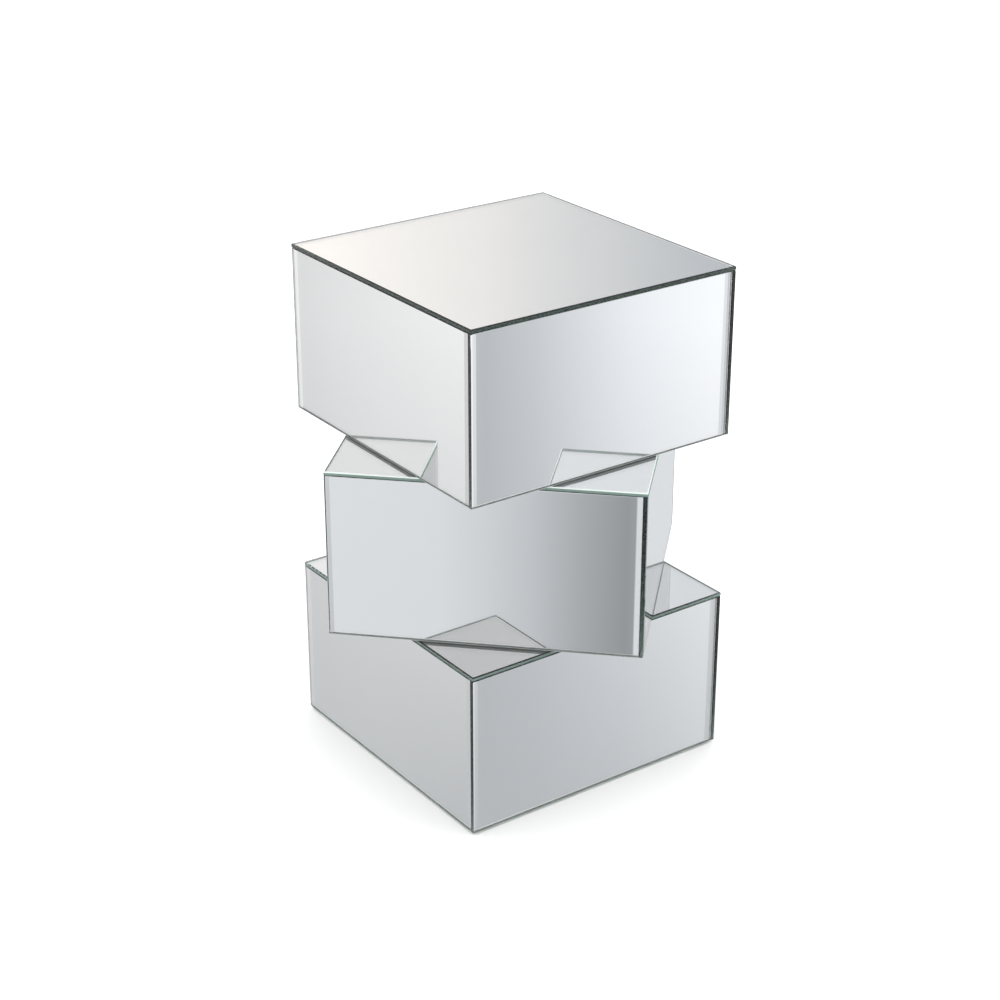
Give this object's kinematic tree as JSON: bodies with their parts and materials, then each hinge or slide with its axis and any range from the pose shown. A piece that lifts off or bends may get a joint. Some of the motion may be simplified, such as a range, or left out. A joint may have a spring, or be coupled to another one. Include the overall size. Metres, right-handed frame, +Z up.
{
  "type": "mirrored accent table",
  "caption": "Free-standing accent table of stacked square mirror-clad blocks, the middle one turned an eighth of a turn so that its corners overhang.",
  "frame": {"origin": "on the floor, under the centre of the stack", "axes": "+Z up; the top and base blocks face -Y (front), +X (right), +Y (back) and -X (left), and the middle block is turned 45 degrees about Z"},
  "size_m": [0.508, 0.508, 0.6096],
  "materials": {
    "mirror_glass": "silvered float glass with polished bevels and edges",
    "fibreboard": "raw medium-density fibreboard",
    "painted_board": "fibreboard with satin silver-grey paint",
    "zinc_steel": "zinc-plated screw",
    "glide_plastic": "moulded black plastic"
  },
  "bodies": {
    "root": {"base_back_board": "fibreboard", "base_back_mirror": "mirror_glass", "base_cap_mirror": "mirror_glass", "base_cover_screw_back_left": "zinc_steel", "base_cover_screw_back_right": "zinc_steel", "base_cover_screw_front_left": "zinc_steel", "base_cover_screw_front_right": "zinc_steel", "base_front_board": "fibreboard", "base_front_mirror": "mirror_glass", "base_joint_screw_back_left": "zinc_steel", "base_joint_screw_back_right": "zinc_steel", "base_joint_screw_front_left": "zinc_steel", "base_joint_screw_front_right": "zinc_steel", "base_left_board": "fibreboard", "base_left_mirror": "mirror_glass", "base_lower_board": "fibreboard", "base_right_board": "fibreboard", "base_right_mirror": "mirror_glass", "base_upper_board": "fibreboard", "glide_back_left": "glide_plastic", "glide_back_right": "glide_plastic", "glide_front_left": "glide_plastic", "glide_front_right": "glide_plastic", "middle_back_board": "fibreboard", "middle_back_mirror": "mirror_glass", "middle_cap_mirror": "mirror_glass", "middle_cover_screw_back_left": "zinc_steel", "middle_cover_screw_back_right": "zinc_steel", "middle_cover_screw_front_left": "zinc_steel", "middle_cover_screw_front_right": "zinc_steel", "middle_front_board": "fibreboard", "middle_front_mirror": "mirror_glass", "middle_joint_screw_back_left": "zinc_steel", "middle_joint_screw_back_right": "zinc_steel", "middle_joint_screw_front_left": "zinc_steel", "middle_joint_screw_front_right": "zinc_steel", "middle_left_board": "fibreboard", "middle_left_mirror": "mirror_glass", "middle_lower_board": "painted_board", "middle_right_board": "fibreboard", "middle_right_mirror": "mirror_glass", "middle_upper_board": "fibreboard", "top_back_board": "fibreboard", "top_back_mirror": "mirror_glass", "top_cap_mirror": "mirror_glass", "top_front_board": "fibreboard", "top_front_mirror": "mirror_glass", "top_left_board": "fibreboard", "top_left_mirror": "mirror_glass", "top_lower_board": "painted_board", "top_right_board": "fibreboard", "top_right_mirror": "mirror_glass", "top_upper_board": "fibreboard"}
  },
  "joints": []
}
